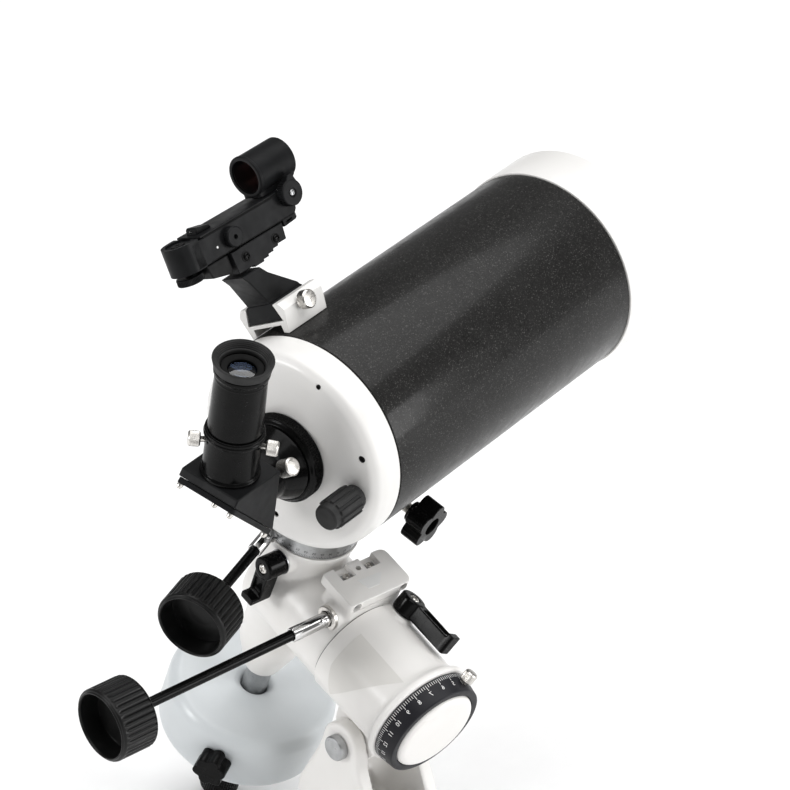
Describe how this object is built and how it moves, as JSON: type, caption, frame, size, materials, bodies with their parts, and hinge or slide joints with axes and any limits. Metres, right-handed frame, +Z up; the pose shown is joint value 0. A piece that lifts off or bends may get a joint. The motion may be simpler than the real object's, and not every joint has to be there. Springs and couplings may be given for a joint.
{
  "type": "maksutov telescope on equatorial head",
  "caption": "Compact catadioptric telescope with star diagonal, eyepiece and red-dot finder, on a German equatorial mount head with slow-motion drives.",
  "frame": {"origin": "centre of the mount head's round base, on its flat underside, where the tripod's central bolt holds it", "axes": "+Z up, +Y horizontally towards the celestial pole, +X east when the pole is north"},
  "size_m": [0.4749, 0.2744, 0.542],
  "materials": {
    "tube_paint": "charcoal metallic gloss enamel with fine sparkle",
    "white_paint": "satin white enamel",
    "mount_paint": "warm white enamel over die casting",
    "weight_paint": "pale cool grey enamel over cast iron",
    "black_plastic": "matte black",
    "gloss_black": "glossy black",
    "black_rubber": "matte black rubber",
    "flat_black": "flat optical black",
    "dark_anodised": "dark grey satin coating",
    "dial_black": "black anodised dial with white marks",
    "bare_metal": "satin nickel or machined aluminium",
    "steel": "plain machined steel",
    "mirror": "front-silvered optical surface",
    "coated_glass": "polished, anti-reflection coated",
    "clear_glass": "polished clear glass"
  },
  "bodies": {
    "base": {"latitude_base": "mount_paint", "latitude_pin": "steel"},
    "polar_barrel": {"polar_housing": "mount_paint", "polar_axle": "steel"},
    "head": {"head_casting": "mount_paint", "worm_block": "mount_paint", "counterweight_shaft": "steel", "shaft_end_stop": "gloss_black"},
    "cradle": {"declination_axle": "steel", "saddle": "mount_paint"},
    "telescope": {"dovetail_bar": "bare_metal", "main_tube": "tube_paint", "front_cell_ring": "white_paint", "corrector_lens": "coated_glass", "secondary_baffle": "flat_black", "baffle_tube": "flat_black", "rear_cell": "white_paint", "visual_back_ring": "black_plastic", "visual_back": "gloss_black", "finder_shoe": "white_paint", "finder_foot": "dark_anodised"},
    "mirror_slide": {"mirror_carrier": "bare_metal", "primary_mirror": "mirror"},
    "focuser": {"focus_screw": "bare_metal", "focus_knob": "black_rubber"},
    "visual_back_clamp": {"visual_back_screw": "bare_metal"},
    "diagonal": {"diagonal_body": "dark_anodised", "diagonal_plate": "dark_anodised", "diagonal_prism": "clear_glass", "diagonal_nosepiece": "bare_metal", "eyepiece_holder": "gloss_black"},
    "eyepiece": {"eyepiece_barrel": "bare_metal", "eyepiece_body": "gloss_black", "eyecup": "black_rubber", "eye_lens": "coated_glass"},
    "holder_clamp_1": {"holder_thumbscrew_1": "bare_metal"},
    "holder_clamp_2": {"holder_thumbscrew_2": "bare_metal"},
    "shoe_clamp": {"finder_shoe_screw": "bare_metal"},
    "finder_yaw_block": {"finder_clamp": "dark_anodised"},
    "finder": {"finder_body": "dark_anodised", "finder_tube": "dark_anodised", "finder_lens": "coated_glass"},
    "finder_power": {"finder_power_knob": "dark_anodised"},
    "finder_altitude_screw": {"finder_altitude_wheel": "black_plastic"},
    "finder_azimuth_screw": {"finder_azimuth_knob": "dark_anodised"},
    "saddle_clamp": {"saddle_clamp_knob": "gloss_black"},
    "declination_dial": {"declination_circle": "bare_metal"},
    "ra_slow_drive": {"ra_worm": "steel", "ra_drive_shaft": "black_plastic", "ra_slow_knob": "gloss_black"},
    "declination_slow_drive": {"declination_worm": "steel", "declination_drive_shaft": "black_plastic", "declination_slow_knob": "gloss_black"},
    "declination_lock": {"declination_lock_lever": "gloss_black"},
    "ra_lock": {"ra_lock_lever": "gloss_black"},
    "ra_dial": {"ra_setting_circle": "dial_black"},
    "ra_dial_clamp": {"ra_circle_screw": "bare_metal"},
    "latitude_screw": {"latitude_bolt": "steel"},
    "weight": {"counterweight": "weight_paint"},
    "weight_clamp": {"counterweight_screw": "steel"}
  },
  "joints": [
    {"name": "latitude_tilt", "type": "hinge", "parent": "base", "child": "polar_barrel", "pos_m": [0, 0, 0.092], "axis": [1, 0, 0], "range_deg": [-7, 37]},
    {"name": "ra_axis", "type": "hinge", "parent": "polar_barrel", "child": "head", "pos_m": [0, 0.08171, 0.17739], "axis": [0, 0.9252, 0.3795], "range_deg": [-100, 100]},
    {"name": "declination_axis", "type": "hinge", "parent": "head", "child": "cradle", "pos_m": [0, 0.08171, 0.17739], "axis": [0, -0.3795, 0.9252], "continuous": true},
    {"name": "ra_slow_motion", "type": "hinge", "parent": "head", "child": "ra_slow_drive", "pos_m": [-0.024, 0.01731, 0.18157], "axis": [-0.9995, 0.0121, -0.0296], "range_deg": [-13000, 13000]},
    {"name": "declination_slow_motion", "type": "hinge", "parent": "head", "child": "declination_slow_drive", "pos_m": [-0.0316, 0.06818, 0.22751], "axis": [-0.9233, -0.3554, -0.1458], "continuous": true},
    {"name": "declination_lock_turn", "type": "hinge", "parent": "head", "child": "declination_lock", "pos_m": [-0.0325, 0.05766, 0.20968], "axis": [-1, 0, 0], "range_deg": [-30, 30]},
    {"name": "ra_lock_turn", "type": "hinge", "parent": "polar_barrel", "child": "ra_lock", "pos_m": [0, 0.00723, 0.14685], "axis": [0.5446, -0.3182, 0.7759], "range_deg": [-45, 20]},
    {"name": "ra_dial_turn", "type": "hinge", "parent": "polar_barrel", "child": "ra_dial", "pos_m": [0, -0.05337, 0.12199], "axis": [0, 0.9252, 0.3795], "continuous": true},
    {"name": "ra_dial_screw_turn", "type": "hinge", "parent": "ra_dial", "child": "ra_dial_clamp", "pos_m": [0, -0.0543, 0.12161], "axis": [0.5299, -0.3218, 0.7846], "continuous": true},
    {"name": "declination_dial_turn", "type": "hinge", "parent": "head", "child": "declination_dial", "pos_m": [0, 0.05704, 0.23753], "axis": [0, -0.3795, 0.9252], "continuous": true},
    {"name": "latitude_screw_turn", "type": "hinge", "parent": "base", "child": "latitude_screw", "pos_m": [0, -0.04, 0.032], "axis": [0, -1, 0], "continuous": true},
    {"name": "counterweight_slide", "type": "slide", "parent": "head", "child": "weight", "axis": [0, 0.3795, -0.9252], "range_m": [0, 0.042]},
    {"name": "counterweight_screw_turn", "type": "hinge", "parent": "weight", "child": "weight_clamp", "pos_m": [0, 0.13369, 0.05064], "axis": [-0.866, -0.4626, -0.1897], "continuous": true},
    {"name": "dovetail_slide", "type": "slide", "parent": "cradle", "child": "telescope", "axis": [0.9796, 0.186, 0.0763], "range_m": [-0.02, 0.02]},
    {"name": "saddle_screw_turn", "type": "hinge", "parent": "cradle", "child": "saddle_clamp", "pos_m": [0.04924, 0.01424, 0.23402], "axis": [0.2011, -0.9063, -0.3717], "continuous": true},
    {"name": "mirror_travel", "type": "slide", "parent": "telescope", "child": "mirror_slide", "axis": [0.9796, 0.186, 0.0763], "range_m": [-0.0045, 0.0045]},
    {"name": "focus_turn", "type": "hinge", "parent": "telescope", "child": "focuser", "pos_m": [-0.06711, -0.05052, 0.31285], "axis": [0.9796, 0.186, 0.0763], "range_deg": [-1620, 1620]},
    {"name": "visual_back_screw_turn", "type": "hinge", "parent": "telescope", "child": "visual_back_clamp", "pos_m": [-0.096, 0.00087, 0.32257], "axis": [0.1265, -0.8653, 0.4851], "continuous": true},
    {"name": "diagonal_turn", "type": "hinge", "parent": "telescope", "child": "diagonal", "pos_m": [-0.09796, 0.00049, 0.32242], "axis": [0.9796, 0.186, 0.0763], "range_deg": [-100, 100]},
    {"name": "eyepiece_slide", "type": "slide", "parent": "diagonal", "child": "eyepiece", "axis": [-0.0349, -0.2163, 0.9757], "range_m": [0, 0.032]},
    {"name": "holder_screw_1_turn", "type": "hinge", "parent": "diagonal", "child": "holder_clamp_1", "pos_m": [-0.12895, -0.01504, 0.36501], "axis": [0.6481, -0.7481, -0.1427], "continuous": true},
    {"name": "holder_screw_2_turn", "type": "hinge", "parent": "diagonal", "child": "holder_clamp_2", "pos_m": [-0.12895, -0.01504, 0.36501], "axis": [-0.7814, 0.6146, 0.1083], "continuous": true},
    {"name": "shoe_screw_turn", "type": "hinge", "parent": "telescope", "child": "shoe_clamp", "pos_m": [-0.03611, 0.04964, 0.40464], "axis": [0.1358, -0.8921, 0.431], "continuous": true},
    {"name": "finder_yaw", "type": "hinge", "parent": "telescope", "child": "finder_yaw_block", "pos_m": [-0.06108, 0.05579, 0.43658], "axis": [-0.1384, 0.3486, 0.927], "range_deg": [-1.5, 1.5]},
    {"name": "finder_pitch", "type": "hinge", "parent": "finder_yaw_block", "child": "finder", "pos_m": [-0.03962, 0.06172, 0.44727], "axis": [0.0772, -0.9294, 0.361], "range_deg": [-0.6, 0.6]},
    {"name": "finder_power_turn", "type": "hinge", "parent": "finder", "child": "finder_power", "pos_m": [-0.01945, 0.06064, 0.47398], "axis": [0.0772, -0.9294, 0.361], "range_deg": [-150, 120]},
    {"name": "finder_altitude_turn", "type": "hinge", "parent": "finder", "child": "finder_altitude_screw", "pos_m": [-0.10415, 0.05473, 0.44306], "axis": [-0.1384, 0.3486, 0.927], "range_deg": [-720, 720]},
    {"name": "finder_azimuth_turn", "type": "hinge", "parent": "finder", "child": "finder_azimuth_screw", "pos_m": [-0.07246, 0.052, 0.46306], "axis": [0.0772, -0.9294, 0.361], "range_deg": [-720, 720]}
  ],
  "couplings": [
    {"joint": "ra_slow_motion", "follows": "ra_axis", "ratio": 130},
    {"joint": "declination_slow_motion", "follows": "declination_axis", "ratio": 65},
    {"joint": "finder_azimuth_turn", "follows": "finder_yaw", "ratio": 480},
    {"joint": "finder_altitude_turn", "follows": "finder_pitch", "ratio": 1200},
    {"joint": "focus_turn", "follows": "mirror_travel", "rad_per_m": 6283.2}
  ]
}
